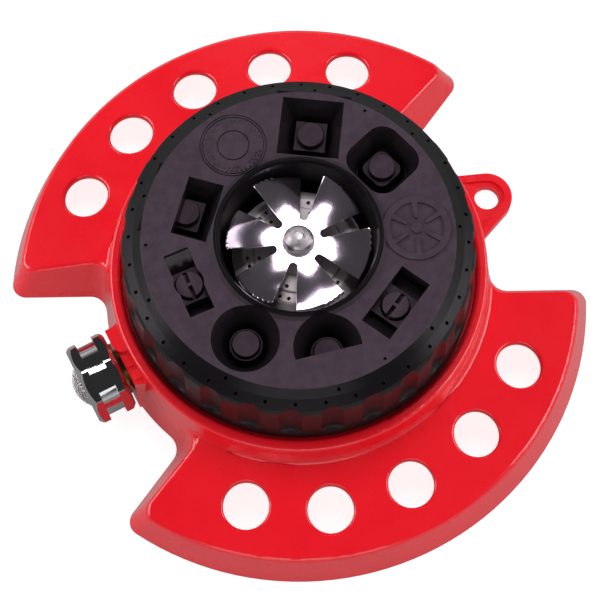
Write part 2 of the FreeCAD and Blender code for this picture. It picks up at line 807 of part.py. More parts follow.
def detent_spring():
    """Leaf spring on the deck whose domed tip clicks into the notches under the dial."""
    body = add_body("detent_leaf")
    deck = size("deck_top")
    strip = as_size(LEAF_THICKNESS)
    tip = deck + 3.0
    circle, screw_y = size("detent_circle"), size("detent_screw_offset")
    side = [(-25.0, deck), (-14.0, deck), (0.0, tip), (5.0, tip - 0.3),
            (5.0, tip - 0.3 + strip), (-0.1, tip + strip), (-14.1, deck + strip), (-25.0, deck + strip)]
    width = 8.0
    sketch = draw_polygon(body, "detent_side", "YZ_Plane", side, circle - width / 2)
    add_pad(body, "detent_pad", sketch, width)
    dome = sphere("detent_dome", size("detent_ball_radius"), circle, 0.0, size("detent_ball_height"))
    hole = cylinder("detent_hole", size("screw_radius"), 6.0, circle, screw_y, deck - 2.0)
    finish(drilled("detent_drilled", join("detent_solid", [body, dome]), [hole]), "detent_spring")


# ---------------------------------------------------------------- hose fitting


def octagon(radius):
    return [(cosine(as_size(radius), 45.0 * k), sine(as_size(radius), 45.0 * k)) for k in range(8)]


def octagon_bar(name, radius, start, length):
    """An eight-sided bar along X with corners up, down and to the sides."""
    body = add_body(name)
    sketch = draw_polygon(body, f"{name}_section", "YZ_Plane", octagon(radius), start)
    add_pad(body, f"{name}_pad", sketch, length)
    move(body, 0.0, 0.0, size("inlet_height"))
    return body


def turned_on_inlet(name, profile):
    """A body turned about the inlet axis; profile is (distance along X, radius)."""
    body = turned(name, profile, "X_Axis")
    move(body, 0.0, 0.0, size("inlet_height"))
    return body


def coupling_nut():
    mouth, back, flange = size("nut_mouth"), size("nut_back"), size("nut_flange")
    corner, waist = size("nut_corner_radius"), size("nut_waist_radius")
    bars = join("nut_bars", [
        octagon_bar("nut_front", corner, mouth, flange),
        turned_on_inlet("nut_waist", [(mouth, 0.0), (mouth, waist), (back, waist), (back, 0.0)]),
        octagon_bar("nut_rear", corner, back - flange, flange)])
    end, crest = corner - size("nut_chamfer"), corner - 0.15
    rounded = turned_on_inlet("nut_rounding", [
        (mouth, 0.0), (mouth, end), (mouth + 2.2, crest), (back - 2.2, crest), (back, end), (back, 0.0)])
    bore, neck_clear = size("nut_bore_radius"), size("neck_radius") + size("running_gap")
    back_lip = back - size("nut_lip")
    hollow = turned_on_inlet("nut_hollow", [
        (mouth - 1.0, 0.0), (mouth - 1.0, bore + 1.6), (mouth + 1.0, bore), (back_lip, bore),
        (back_lip, neck_clear), (back + 1.0, neck_clear), (back + 1.0, 0.0)])
    finish(cut("nut_bored", common("nut_outside", bars, rounded), hollow), "coupling_nut")


def tailpiece():
    """Nipple that the nut turns on, its spigot pushed into the manifold's socket."""
    back, face = size("nut_back"), size("inlet_boss_face")
    neck, bore = size("neck_radius"), size("water_bore_radius")
    flange, collar = size("tail_flange_radius"), size("tail_collar_radius")
    flange_back = back - size("nut_lip") - size("running_gap")
    flange_front = flange_back - size("tail_flange_thickness")
    spigot = size("socket_bore_radius")
    spigot_end = face + size("tail_inset") + size("socket_depth") - 0.5
    body = turned_on_inlet("tailpiece_body", [
        (flange_front, bore), (flange_front, flange), (flange_back, flange), (flange_back, neck),
        (back + 0.1, neck), (back + 0.1, collar), (face, collar), (face, spigot),
        (spigot_end - 7.0, spigot), (spigot_end - 7.0, spigot - 1.2), (spigot_end - 4.8, spigot - 1.2),
        (spigot_end - 4.8, spigot), (spigot_end - 0.6, spigot), (spigot_end, spigot - 0.6),
        (spigot_end, bore)])
    finish(body, "tailpiece")
    ring = turned_on_inlet("o_ring_body", [
        (spigot_end - 6.8, spigot - 1.2), (spigot_end - 5.0, spigot - 1.2), (spigot_end - 5.0, spigot - 0.3),
        (spigot_end - 5.4, spigot), (spigot_end - 6.4, spigot), (spigot_end - 6.8, spigot - 0.3)])
    finish(ring, "inlet_o_ring")
    washer_front, outer = flange_front - size("hose_washer_thickness"), size("hose_washer_radius")
    washer = turned_on_inlet("washer_body", [
        (washer_front, 8.0), (washer_front, outer), (flange_front, outer), (flange_front, 8.0)])
    finish(washer, "hose_washer")
    strainer(washer_front)


def strainer(seat):
    """Domed screen that stands in the mouth of the nut, pierced all over."""
    front = seat - 0.8
    dome_outer = [(0.0, 8.9), (3.0, 8.75), (6.0, 8.2), (8.6, 7.0), (10.6, 5.2), (11.8, 3.0), (12.4, 0.0)]
    wall, rim = size("strainer_wall"), size("strainer_rim_radius")
    outside = [(front - x, y) for x, y in dome_outer]
    inside = []
    for x, y in reversed(dome_outer):
        depth = front - x + (wall if y < 8.0 else 0.0)
        inside.append((depth, as_size(y) - wall if y > wall.value else 0.0))
    body = turned_on_inlet("strainer_body", [(seat, rim), (front, rim)] + outside + inside + [(seat, 8.2)])
    slots = []
    for row, (along, count) in enumerate(((2.0, 14), (5.0, 12), (8.0, 9))):
        for number in range(count):
            angle = 360.0 * (number + 0.5 * (row % 2)) / count
            tilt = FreeCAD.Rotation(FreeCAD.Vector(1, 0, 0), angle)
            start = as_size(5.0)
            slots.append(cylinder(f"mesh_{row}_{number}", 0.8, 6.0, front - along, -sine(start, angle),
                                  size("inlet_height") + cosine(start, angle), tilt))
    finish(drilled("strainer_pierced", body, slots), "strainer")


# ---------------------------------------------------------------- dial


def plate_screw_angles():
    """One screw midway between each pattern and the next."""
    return [pattern_angle(index) + DIMENSIONS["pattern_pitch"] / 2 for index in range(PATTERN_COUNT)]


def port_plate():
    bottom = size("plate_bottom")
    top = bottom + size("plate_thickness")
    wall = size("dial_wall_radius")
    bearing_top = size("deck_top") + size("bush_flange_thickness") + size("thrust_washer_thickness")
    hub_bottom, hub_top = bearing_top + size("running_gap"), top + size("hub_rise")
    bore, hub = size("bush_radius"), size("hub_radius")
    screw_circle, screw_radius = size("plate_screw_circle"), size("plate_screw_radius")
    sink_radius, sink = size("plate_screw_head_radius") + 0.1, size("plate_screw_sink") + 1.0
    disc = turned("plate_body", [
        (bore, hub_bottom), (hub, hub_bottom), (hub, bottom), (wall, bottom), (wall, top),
        (hub, top), (hub, hub_top), (bore, hub_top)])
    holes = []
    for index in range(PATTERN_COUNT):
        angle = pattern_angle(index)
        port = cylinder(f"port_{index}", size("port_radius"), 10.0)
        holes.append(turn_to(port, size("port_circle_radius"), angle, bottom - 2.0))
        notch = sphere(f"notch_{index}", size("detent_ball_radius") + 0.1)
        holes.append(turn_to(notch, size("detent_circle"), index * DIMENSIONS["pattern_pitch"],
                             size("detent_ball_height")))
    for index, angle in enumerate(plate_screw_angles()):
        holes.append(turn_to(cylinder(f"plate_screw_hole_{index}", screw_radius, 10.0), screw_circle, angle,
                             bottom - 1.0))
        holes.append(turn_to(cylinder(f"plate_screw_sink_{index}", sink_radius, sink), screw_circle, angle,
                             bottom - 1.0))
    finish(drilled("plate_drilled", disc, holes), "port_plate")
    gasket_top = top + size("gasket_thickness")
    gasket = turned("gasket_body", [(hub, top), (wall, top), (wall, gasket_top), (hub, gasket_top)])
    openings = []
    for index in range(PATTERN_COUNT):
        port = cylinder(f"gasket_port_{index}", size("gasket_port_radius"), 4.0)
        openings.append(turn_to(port, size("port_circle_radius"), pattern_angle(index), top - 1.0))
    for index, angle in enumerate(plate_screw_angles()):
        openings.append(turn_to(cylinder(f"gasket_screw_{index}", screw_radius, 4.0), screw_circle, angle,
                                top - 1.0))
    finish(drilled("gasket_drilled", gasket, openings), "chamber_gasket")
    places = circle_places(screw_circle, plate_screw_angles(), bottom + size("plate_screw_sink"))
    screws("plate_screws", places, size("screw_head_height"), size("plate_screw_length"),
           radius=screw_radius, head_radius=size("plate_screw_head_radius"))


def square(side):
    half = as_size(side) / 2
    return [(-half, -half), (half, -half), (half, half), (-half, half)]


def is_corner_edge(edge):
    """Upright or drafted edge between two sides of a square prism."""
    return edge.BoundBox.ZLength > 1.0


def round_corners(name, base, low_radius, high_radius):
    """Fillets a square prism's four corners, with one radius at the bottom and another at the top."""
    doc.recompute()
    fillet = doc.addObject("Part::Fillet", name)
    fillet.Base = base
    edges = []
    for number, edge in enumerate(base.Shape.Edges, start=1):
        if is_corner_edge(edge):
            upwards = edge.valueAt(edge.FirstParameter).z < edge.valueAt(edge.LastParameter).z
            ends = (low_radius.value, high_radius.value)
            edges.append((number, *(ends if upwards else ends[::-1])))
    fillet.Edges = edges
    return fillet


FUNNELS = {0: "rounded", 1: "square", 3: "half_square", 5: "cone", 6: "half_cone"}
SLOTS = {4: "slot_narrow", 7: "slot_wide"}
EMBLEM_JETS = 2
EMBLEM_WHEEL = 8
ABOVE_FACE = 4.0
BELOW_FLOOR = 6.0


def slot_side(wall):
    """Side view of a slot along its length: a ramp, the plate round the post, and a well.

    With a wall it is the plain block that holds them all."""
    face, half = size("face_height"), size("slot_length") / 2
    floor = face - size("recess_depth")
    if wall.value > 0:
        outer = half + wall
        return [(-outer, floor - wall), (outer, floor - wall), (outer, face), (-outer, face)]
    plate, plate_half = face - size("slot_plate_drop"), size("slot_plate_half")
    above = face + ABOVE_FACE
    return [(-half, above), (-half, face - size("slot_ramp_drop")), (-plate_half, face - size("slot_ramp_depth")),
            (-plate_half, plate), (plate_half, plate), (plate_half, floor), (half, floor), (half, above)]


def recess(index, wall):
    """The hollow of one pattern, or, with a wall, the cup that surrounds it, built at the dial axis."""
    depth, face = size("recess_depth"), size("face_height")
    floor = face - depth
    above = 0.0 if wall.value > 0 else ABOVE_FACE
    name = f"recess_{index}" if wall.value == 0 else f"cup_{index}"
    if index in SLOTS:
        slot = add_body(name)
        width = size(SLOTS[index]) + wall * 2
        sketch = draw_polygon(slot, f"{name}_side", "YZ_Plane", slot_side(wall), -(width / 2))
        add_pad(slot, f"{name}_pad", sketch, width)
        return slot
    kind = FUNNELS[index]
    if kind in ("cone", "half_cone"):
        spread = (size("cone_mouth_radius") - size("cone_floor_radius")) / depth
        top_radius = size("cone_mouth_radius") + wall + spread * above
        return turned(name, [(0.0, floor - wall), (size("cone_floor_radius") + wall, floor - wall),
                             (top_radius, face + above), (0.0, face + above)])
    rounded = kind == "rounded"
    side = size("rounded_floor" if rounded else "square_floor") + wall * 2
    draft = size("rounded_draft" if rounded else "recess_draft")
    funnel = prism(name, square(side), floor - wall, depth + wall + above, draft)
    if rounded:
        low, high = size("rounded_floor_corner") + wall, size("rounded_mouth_corner") + wall
        return round_corners(f"{name}_rounded", funnel, low, high)
    return funnel


def placed(item, index, height=0.0):
    return turn_to(item, size("pattern_circle_radius"), pattern_angle(index), height)


def shelf(index, wall):
    """The upright outer wall that closes half of a pattern."""
    reach = 40.0
    start = size("shelf_radius") - wall
    centre = start + reach / 2
    angle = pattern_angle(index)
    return block(f"shelf_{index}_{int(wall.value)}", reach, 60.0, 60.0, cosine(centre, angle), sine(centre, angle),
                 40.0 if wall.value > 0 else 61.0, angle)


def dial_cap():
    face, wall = size("face_height"), size("dial_wall")
    outer, inner_face = size("dial_wall_radius"), size("face_height") - size("face_wall")
    bevel_z, rim_z = face - size("bevel_drop"), face - size("rim_drop")
    gasket_top = size("plate_bottom") + size("plate_thickness") + size("gasket_thickness")
    lip_z, lip_r, bowl = size("bowl_lip_height"), size("bowl_lip_radius"), size("bowl_radius")
    floor, flat_radius = size("bowl_floor"), size("face_flat_radius")
    shell = turned("cap_shell", [
        (0.0, floor - 2.6), (bowl + 1.0, floor - 2.6), (bowl + 1.0, inner_face),
        (flat_radius - 1.0, inner_face), (outer - wall, rim_z - 3.4), (outer - wall, gasket_top),
        (outer, gasket_top), (outer, rim_z - 1.2), (size("rim_outer_radius"), rim_z - 1.0),
        (size("rim_outer_radius"), rim_z), (size("bevel_outer_radius"), bevel_z), (flat_radius, face),
        (lip_r + 1.6, face + 0.1), (lip_r, face + 0.8), (lip_r - 0.9, lip_z - 0.3), (lip_r - 1.6, lip_z),
        (bowl + 0.6, lip_z - 0.5), (bowl, lip_z - 2.0), (bowl - 1.6, floor), (0.0, floor)])
    solids = [shell]
    voids = []
    no_wall, cup_wall = as_size(0.0), size("cup_wall")
    chamber_top = face - size("recess_depth")
    for index in list(FUNNELS) + list(SLOTS):
        half = index in (3, 6)
        cup = placed(recess(index, cup_wall), index)
        hollow = placed(recess(index, no_wall), index)
        chamber = placed(cylinder(f"chamber_{index}", size("chamber_radius"), chamber_top - gasket_top),
                         index, gasket_top)
        bore = placed(cylinder(f"chamber_bore_{index}", size("chamber_bore_radius"),
                               chamber_top - gasket_top - 2.0), index, gasket_top)
        solids += [cup, chamber]
        voids += [cut(f"half_recess_{index}", hollow, shelf(index, no_wall)) if half else hollow, bore]
        voids.append(opening(index))
    for index, angle in enumerate(plate_screw_angles()):
        post = cylinder(f"screw_post_{index}", 4.0, inner_face - gasket_top + 0.5)
        pilot = cylinder(f"screw_bore_{index}", size("plate_screw_radius"), 15.5)
        solids.append(turn_to(post, size("plate_screw_circle"), angle, gasket_top))
        voids.append(turn_to(pilot, size("plate_screw_circle"), angle, gasket_top))
    solids += wheel_feed_walls(gasket_top)
    voids += wheel_feed_bores(gasket_top) + jet_grooves(face) + jets(rim_z)
    voids.append(cylinder("bowl_clear", bowl - 1.7, 30.0, 0.0, 0.0, floor))
    plain = join_in_turn("cap_plain", solids)
    marks = [join("wheel_mark", wheel_emblem(face)), join("jet_mark", jet_beads(face))]
    marked = join("cap_marked", [plain] + marks)
    finish(drilled("cap_drilled", marked, voids), "dial_cap")


def opening(index):
    """The hole in a pattern's floor that the spray core stands in."""
    floor = size("face_height") - size("recess_depth")
    name = f"opening_{index}"
    if index in SLOTS:
        bore = size("post_radius") + size("post_gap")
        return placed(cylinder(name, bore, 24.0), index, floor - BELOW_FLOOR)
    kind = FUNNELS[index]
    if kind in ("cone", "half_cone"):
        hole = placed(cylinder(name, size("cone_floor_radius"), 8.0), index, floor - BELOW_FLOOR)
    else:
        rounded = kind == "rounded"
        half = size("rounded_floor" if rounded else "square_floor")
        hole = prism(name, square(half), floor - BELOW_FLOOR, 8.0)
        if rounded:
            corner = size("rounded_floor_corner")
            hole = round_corners(f"{name}_rounded", hole, corner, corner)
        hole = placed(hole, index)
    if kind.startswith("half"):
        return cut(f"{name}_half", hole, shelf(index, as_size(0.0)))
    return hole


DUCT_MIDDLE = 35.0


def wheel_feed_walls(bottom):
    """Chamber of the propeller pattern and the duct from it to the middle of the bowl."""
    angle = pattern_angle(EMBLEM_WHEEL)
    chamber = placed(cylinder("wheel_chamber", size("chamber_radius"), 8.0), EMBLEM_WHEEL, bottom)
    middle = as_size(DUCT_MIDDLE)
    duct = block("wheel_duct", 34.0, 12.0, 8.0, cosine(middle, angle), sine(middle, angle), bottom, angle)
    return [chamber, duct]


def wheel_feed_bores(bottom):
    angle = pattern_angle(EMBLEM_WHEEL)
    chamber = placed(cylinder("wheel_chamber_bore", size("chamber_bore_radius"), 6.0), EMBLEM_WHEEL, bottom)
    middle = as_size(DUCT_MIDDLE)
    duct = block("wheel_duct_bore", 30.0, 8.0, 4.0, cosine(middle, angle), sine(middle, angle),
                 bottom + 2.0, angle)
    riser = turn_to(cylinder("wheel_riser", 3.5, 12.0), 24.0, angle, bottom + 2.0)
    return [chamber, duct, riser]


def wheel_emblem(face):
    """Raised wheel with six tapered spokes that marks the propeller pattern."""
    root = size("emblem_root")
    rise = size("emblem_rise") + root
    rim = cut("wheel_rim", cylinder("wheel_rim_outer", 14.2, rise),
              cylinder("wheel_rim_inner", 11.4, rise + 4.0, 0.0, 0.0, -1.0))
    items = [placed(rim, EMBLEM_WHEEL, face - root)]
    radius, angle = size("pattern_circle_radius"), pattern_angle(EMBLEM_WHEEL)
    for number in range(6):
        outline = [(4.4, -0.7), (12.0, -1.15), (12.0, 1.15), (4.4, 0.7)]
        spoke = prism(f"wheel_spoke_{number}", outline, 0.0, rise)
        turn = FreeCAD.Rotation(FreeCAD.Vector(0, 0, 1), angle + 30.0 + 60.0 * number)
        spoke.Placement = FreeCAD.Placement(FreeCAD.Vector(), turn)
        move(spoke, cosine(radius, angle), sine(radius, angle), face - root)
        items.append(spoke)
    items.append(placed(cylinder("wheel_hub", 2.4, rise), EMBLEM_WHEEL, face - root))
    return items


def emblem_centre():
    radius, angle = size("pattern_circle_radius"), pattern_angle(EMBLEM_JETS)
    return cosine(radius, angle), sine(radius, angle)


def jet_grooves(face):
    """Sunk rings of the emblem that marks the ring-of-jets pattern."""
    items = []
    for number, (outer, inner) in enumerate(((14.3, 13.8), (13.2, 12.8), (7.0, 6.4))):
        groove = cut(f"emblem_ring_{number}", cylinder(f"emblem_outer_{number}", outer, 3.0),
                     cylinder(f"emblem_inner_{number}", inner, 5.0, 0.0, 0.0, -1.0))
        items.append(placed(groove, EMBLEM_JETS, face - size("emblem_root")))
    return items


def jet_beads(face):
    """Raised beads between the rings, an unbroken circle and a second one in pairs."""
    items = []
    centre_x, centre_y = emblem_centre()
    circle = [(11.9, 10.0 * number) for number in range(36)]
    pairs = [(10.4, 60.0 * number + side) for number in range(6) for side in (-14.0, -5.0, 5.0, 14.0)]
    for number, (radius, angle) in enumerate(circle + pairs):
        x = centre_x + cosine(as_size(radius), angle)
        y = centre_y + sine(as_size(radius), angle)
        items.append(sphere(f"emblem_bead_{number}", 0.65, x, y, face - 0.2))
    return items


def jets(rim_z):
    """Fine holes: one circle round the rim, and a few on the face and its bevel."""
    items = []
    face = size("face_height")
    length = 9.0
    for number in range(RIM_JET_COUNT):
        angle = 1.5 + 360.0 * number / RIM_JET_COUNT
        hole = cylinder(f"rim_jet_{number}", size("jet_radius"), length)
        items.append(turn_to(hole, size("rim_hole_circle"), angle, rim_z - 4.0))
    for index in range(PATTERN_COUNT):
        hole = cylinder(f"bevel_jet_{index}", size("jet_radius"), length)
        items.append(turn_to(hole, 67.7, pattern_angle(index), rim_z - 4.0))
    for index in (0, 3, 6):
        hole = cylinder(f"face_jet_{index}", size("jet_radius"), 3.0)
        items.append(turn_to(hole, 63.8, pattern_angle(index) + 19.5, face - 1.5))
    return items


def spray_core(index, label):
    """The post and pedestal that shape the spray of one pattern, on a pierced foot in its chamber."""
    gasket_top = size("plate_bottom") + size("plate_thickness") + size("gasket_thickness")
    floor = size("face_height") - size("recess_depth")
    face = size("face_height")
    foot_radius = size("chamber_bore_radius") - size("running_gap")
    foot = cylinder(f"{label}_foot", foot_radius, size("core_foot_thickness"))
    stem = cylinder(f"{label}_stem", size("core_stem_radius"), floor - gasket_top)
    items = [placed(foot, index, gasket_top), placed(stem, index, gasket_top)]
    kind = FUNNELS.get(index, "slot")
    bottom = floor - BELOW_FLOOR
    top = face - size("slot_post_drop" if kind == "slot" else "post_drop")
    post = cylinder(f"{label}_post", size("post_radius"), top - bottom)
    crown = round_edges(f"{label}_crown", post, as_size(0.5), lambda edge: is_post_rim(edge, top - bottom))
    items.append(placed(crown, index, bottom))
    if kind in ("cone", "half_cone"):
        items.append(placed(sleeve(label, face - size("sleeve_drop") - bottom), index, bottom))
    elif kind != "slot":
        side = size("pedestal_width")
        pedestal = prism(f"{label}_pedestal", square(side), bottom, face - size("pedestal_drop") - bottom)
        if kind == "rounded":
            corner = size("pedestal_corner")
            pedestal = round_corners(f"{label}_rounded", pedestal, corner, corner)
        items.append(placed(pedestal, index))
    tools = []
    angle = pattern_angle(index)
    circle = size("pattern_circle_radius")
    centre_x, centre_y = cosine(circle, angle), sine(circle, angle)
    for number in range(6):
        x = centre_x + cosine(as_size(7.0), 60.0 * number)
        y = centre_y + sine(as_size(7.0), 60.0 * number)
        tools.append(cylinder(f"{label}_flow_{number}", 1.7, 6.0, x, y, gasket_top - 1.0))
    if kind == "slot":
        split = block(f"{label}_split", 1.8, 30.0, 6.0, centre_x, centre_y, face - 6.4, angle)
        bridge = block(f"{label}_bridge", 3.0, 1.3, 20.0, centre_x, centre_y, face - 20.0, angle)
        tools.append(cut(f"{label}_slit", split, bridge))
    if kind in ("half_cone", "half_square"):
        tools.append(half_tool(index, label))
    finish(drilled(f"{label}_shaped", join(f"{label}_solid", items), tools), label)


def is_post_rim(edge, height):
    """The round upper edge of a post that stands on its own origin."""
    return edge.BoundBox.ZMin > height.value - 0.1


def sleeve(label, height):
    """Thin wall that stands round a post, a groove apart from it."""
    inner, wall = size("post_radius") + size("post_gap"), size("sleeve_wall")
    root = height - 3.0
    outer = inner + wall
    return turned(f"{label}_sleeve", [(0.0, 0.0), (outer, 0.0), (outer, height), (inner, height),
                                      (inner, root), (0.0, root)])


def half_tool(index, label):
    """Removes the part of a core that the pattern's upright wall would cover."""
    angle = pattern_angle(index)
    centre = size("shelf_radius") + 20.0 - 0.1
    return block(f"{label}_half", 40.0, 60.0, 60.0, cosine(centre, angle), sine(centre, angle),
                 size("face_height") - size("recess_depth") - 2.2, angle)


CORE_LABELS = {
    0: "core_rounded_square", 1: "core_square", 3: "core_half_square", 4: "core_narrow_slot",
    5: "core_round", 6: "core_half_round", 7: "core_wide_slot",
}


def grip_ring():
    """Scooped outer skirt of the dial."""
    inner = size("dial_wall_radius")
    bottom, rim_z = size("skirt_bottom"), size("face_height") - size("rim_drop")
    low, high = size("skirt_bottom_radius"), size("skirt_top_radius")
    ring = turned("grip_body", [
        (inner, bottom), (low - 0.8, bottom), (low, bottom + 0.8), (high, rim_z - 4.2),
        (high - 0.5, rim_z - 2.4), (size("rim_outer_radius"), rim_z - 1.2), (inner, rim_z - 1.2)])
    lean = math.degrees(math.atan2(low.value - high.value, (rim_z - bottom).value))
    scoops = []
    depth_offset = size("scoop_radius") - size("scoop_depth")
    start = size("scoop_bottom")
    fall = (low - high) / (rim_z - 4.2 - bottom)
    axis_radius = low - (start - bottom) * fall + depth_offset
    for number in range(SCOOP_COUNT):
        angle = 360.0 * number / SCOOP_COUNT
        around = FreeCAD.Rotation(FreeCAD.Vector(0, 0, 1), angle)
        tilt = around.multiply(FreeCAD.Rotation(FreeCAD.Vector(0, 1, 0), -lean))
        x, y = cosine(axis_radius, angle), sine(axis_radius, angle)
        rod = cylinder(f"scoop_rod_{number}", size("scoop_radius"), 40.0)
        scoop = round_edges(f"scoop_{number}", rod, size("scoop_end_radius"),
                            lambda edge: edge.BoundBox.ZMax < 0.1)
        scoop.Placement = FreeCAD.Placement(FreeCAD.Vector(), tilt)
        move(scoop, x, y, start)
        scoops.append(scoop)
    finish(drilled("grip_scooped", ring, scoops), "grip_ring")


def pivot_bolt():
    """Shouldered bolt that holds the dial down, with its washer and the brass insert it threads into."""
    boss = size("pivot_boss_bottom")
    hub_top = size("plate_bottom") + size("plate_thickness") + size("hub_rise")
    radius, head = size("bolt_radius"), as_size(6.8)
    seat, washer_top = boss - 1.0, boss - size("running_gap")
    head_bottom = seat - 5.0
    bolt = turned("bolt_body", [
        (0.0, head_bottom), (head - 0.6, head_bottom), (head, head_bottom + 0.6), (head, seat),
        (radius, seat), (radius, hub_top - 0.6), (radius - 0.6, hub_top), (0.0, hub_top)])
    finish(bolt, "pivot_bolt")
    washer = turned("pivot_washer_body", [(radius, seat), (9.0, seat), (9.0, washer_top), (radius, washer_top)])
    finish(washer, "pivot_washer")
    plate, outer = size("plate_bottom"), size("bush_radius")
    insert = turned("hub_insert_body", [(radius, plate), (outer, plate), (outer, hub_top), (radius, hub_top)])
    finish(insert, "hub_insert")


def nozzle_insert():
    """Stepped disc of fine jets in the bottom of the bowl, carrying the propeller's pin."""
    floor, edge, pin = size("bowl_floor"), size("insert_radius"), size("pin_radius")
    body = turned("insert_body", [
        (pin, floor + 5.0), (17.0, floor + 5.0), (24.0, floor + 4.0), (edge - 3.0, floor + 1.4),
        (edge - 3.0, floor),
        (edge, floor), (edge, floor + 2.0), (24.4, floor + 6.0), (23.6, floor + 6.4), (19.6, floor + 6.4),
        (18.9, floor + 7.2), (12.0, floor + 7.2), (11.4, floor + 7.8), (5.4, floor + 7.8), (4.6, floor + 8.8),
        (4.6, size("pin_step_height")), (pin, size("pin_step_height"))])
    holes = []
    for number in range(6):
        angle = 45.6 + 60.0 * number
        holes.append(turn_to(cylinder(f"inner_jet_{number}", 0.8, 12.0), 17.2, angle, floor))
        for side in (-5.0, 5.0):
            name = f"outer_jet_{number}_{int(side > 0)}"
            holes.append(turn_to(cylinder(name, 0.8, 12.0), 22.1, angle + 1.0 + side, floor))
    finish(drilled("insert_drilled", body, holes), "nozzle_insert")


# ---------------------------------------------------------------- propeller


def propeller():
    """Six-bladed sheet-metal wheel; each blade is pitched about its own centre line."""
    height, sheet_t = size("propeller_height"), size("blade_thickness")
    gap = size("running_gap")
    hub = cylinder("hub_disc", 12.4, sheet_t, 0.0, 0.0, height)
    blades = [hub]
    tip, root = size("blade_tip_radius"), size("blade_root_radius")
    spread = 24.0
    for number in range(BLADE_COUNT):
        angle = DIMENSIONS["blade_phase"] + 360.0 / BLADE_COUNT * number
        outline = [(root, -3.2), (root + 6.0, -5.4), (cosine(tip, spread), -sine(tip, spread)),
                   (cosine(tip, 12.0), -sine(tip, 12.0)), (tip, 0.0), (cosine(tip, 12.0), sine(tip, 12.0)),
                   (cosine(tip, spread), sine(tip, spread)), (root + 6.0, 5.4), (root, 3.2)]
        blade = prism(f"blade_{number}", outline, -(sheet_t / 2), sheet_t)
        around = FreeCAD.Rotation(FreeCAD.Vector(0, 0, 1), angle)
        pitch = FreeCAD.Rotation(FreeCAD.Vector(1, 0, 0), DIMENSIONS["blade_tilt"])
        blade.Placement = FreeCAD.Placement(FreeCAD.Vector(), around.multiply(pitch))
        bind(blade, "Placement.Base.z", height + sheet_t / 2)
        blades.append(blade)
    bore = cylinder("hub_bore", size("shaft_radius") + gap, 10.0, 0.0, 0.0, height - 5.0)
    finish(drilled("propeller_bored", join("propeller_solid", blades), [bore]), "propeller")
    shaft_screw(height, sheet_t, gap)


def shaft_screw(height, sheet_t, gap):
    """Domed screw that the propeller spins on, the washer under its head and the spacer below the wheel."""
    washer_bottom = height + sheet_t + gap
    head_seat = washer_bottom + size("head_washer_thickness")
    shaft, pin, step = size("shaft_radius"), size("pin_radius"), size("pin_step_height")
    band = 1.8
    cap, top = size("cap_radius"), size("cap_height")
    dome = []
    rise = top - head_seat
    for angle in (15.0, 30.0, 45.0, 60.0, 75.0):
        dome.append((cosine(cap, angle), head_seat + band + sine(rise - band, angle)))
    bottom = size("bowl_floor") + 1.0
    body = turned("shaft_body", [(0.0, bottom), (pin, bottom), (pin, step), (shaft, step), (shaft, head_seat),
                                 (cap - 0.3, head_seat), (cap, head_seat + 0.4), (cap, head_seat + band)]
                  + dome + [(0.0, top)])
    finish(body, "shaft_screw")
    outer = size("head_washer_radius")
    washer = turned("head_washer_body", [
        (shaft, washer_bottom), (outer, washer_bottom), (outer, head_seat), (shaft, head_seat)])
    finish(washer, "head_washer")
    spacer = turned("spacer_body", [(shaft, step), (4.4, step), (4.4, height - gap), (shaft, height - gap)])
    finish(spacer, "spacer_washer")


# ---------------------------------------------------------------- build everything and write it out

base_casting()
bottom_cover()
fixed_screws()
inlet_manifold()
port_seal()
pivot_bearing()
detent_spring()
coupling_nut()
tailpiece()
port_plate()
dial_cap()
for pattern, core_label in CORE_LABELS.items():
    spray_core(pattern, core_label)
grip_ring()
pivot_bolt()
nozzle_insert()
propeller()
doc.recompute()

failed = [item.Name for item in doc.Objects if "Invalid" in item.State or "Error" in item.State]
if failed:
    raise RuntimeError(f"these features failed: {failed}")
for name, item in PARTS:
    if item.Shape.isNull() or not item.Shape.isValid():
        raise RuntimeError(f"{name} has no valid shape")

os.makedirs("parts", exist_ok=True)
for name, item in PARTS:
    item.Shape.exportStep(f"parts/{name}.step")
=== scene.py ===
import json
import math

import bmesh
import bpy
from mathutils import Matrix, Vector


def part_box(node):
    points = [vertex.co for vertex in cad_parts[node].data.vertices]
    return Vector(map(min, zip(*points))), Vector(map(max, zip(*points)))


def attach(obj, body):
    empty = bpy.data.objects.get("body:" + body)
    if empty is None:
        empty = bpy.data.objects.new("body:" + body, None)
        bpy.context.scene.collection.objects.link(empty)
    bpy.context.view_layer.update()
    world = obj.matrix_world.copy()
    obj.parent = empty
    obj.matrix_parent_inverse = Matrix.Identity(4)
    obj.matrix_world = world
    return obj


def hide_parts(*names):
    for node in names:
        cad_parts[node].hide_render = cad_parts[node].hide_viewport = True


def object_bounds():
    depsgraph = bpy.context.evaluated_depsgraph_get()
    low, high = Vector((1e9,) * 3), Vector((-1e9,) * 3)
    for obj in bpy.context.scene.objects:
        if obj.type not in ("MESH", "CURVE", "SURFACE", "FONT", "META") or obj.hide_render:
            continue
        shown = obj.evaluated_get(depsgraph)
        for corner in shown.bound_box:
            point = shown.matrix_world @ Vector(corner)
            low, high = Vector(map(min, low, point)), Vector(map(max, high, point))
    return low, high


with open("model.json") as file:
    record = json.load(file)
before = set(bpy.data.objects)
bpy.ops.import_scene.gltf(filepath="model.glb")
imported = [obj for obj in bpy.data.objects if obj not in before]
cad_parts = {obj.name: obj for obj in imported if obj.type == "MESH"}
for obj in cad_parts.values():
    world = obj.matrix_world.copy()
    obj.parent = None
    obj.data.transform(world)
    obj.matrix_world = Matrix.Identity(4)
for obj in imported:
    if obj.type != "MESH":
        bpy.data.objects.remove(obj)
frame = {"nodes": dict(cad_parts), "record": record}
cad_low, cad_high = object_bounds()
nodes = frame["nodes"]


# ---------------------------------------------------------------- node material helpers


